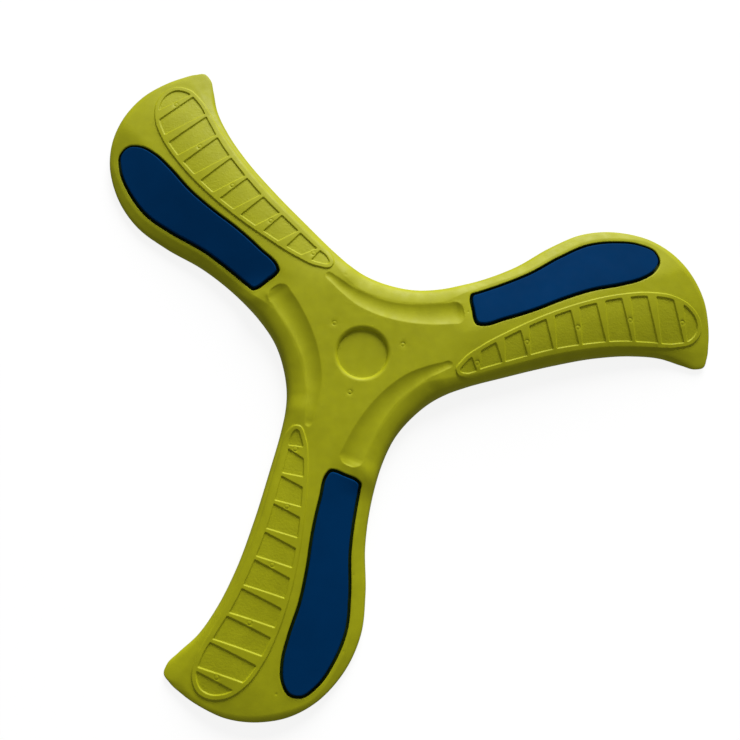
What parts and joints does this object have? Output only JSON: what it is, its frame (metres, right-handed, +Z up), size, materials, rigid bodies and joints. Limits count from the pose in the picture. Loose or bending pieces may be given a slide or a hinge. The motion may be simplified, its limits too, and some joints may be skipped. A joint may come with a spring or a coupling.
{
  "type": "three-wing soft boomerang",
  "caption": "Soft foam boomerang with hooked, evenly spaced wings, inlaid smooth pads, a raised ladder relief on each wing and a round recess at the hub.",
  "frame": {"origin": "centre of the hub on the flat underside", "axes": "+Z up along the hub axis, away from the underside; +X along the first wing; the wings repeat every 120 degrees about Z, and the hooked tips point clockwise as seen from above"},
  "size_m": [0.2557, 0.2696, 0.01],
  "materials": {
    "foam": "matt moulded skin of soft lime-green polyurethane foam",
    "pad": "smooth satin dark-blue soft inlay",
    "adhesive": "thin clear glue film, hidden under each pad"
  },
  "bodies": {
    "root": {"foam_body": "foam", "wing_pad_1": "pad", "wing_pad_2": "pad", "wing_pad_3": "pad", "pad_adhesive_1": "adhesive", "pad_adhesive_2": "adhesive", "pad_adhesive_3": "adhesive"}
  },
  "joints": []
}
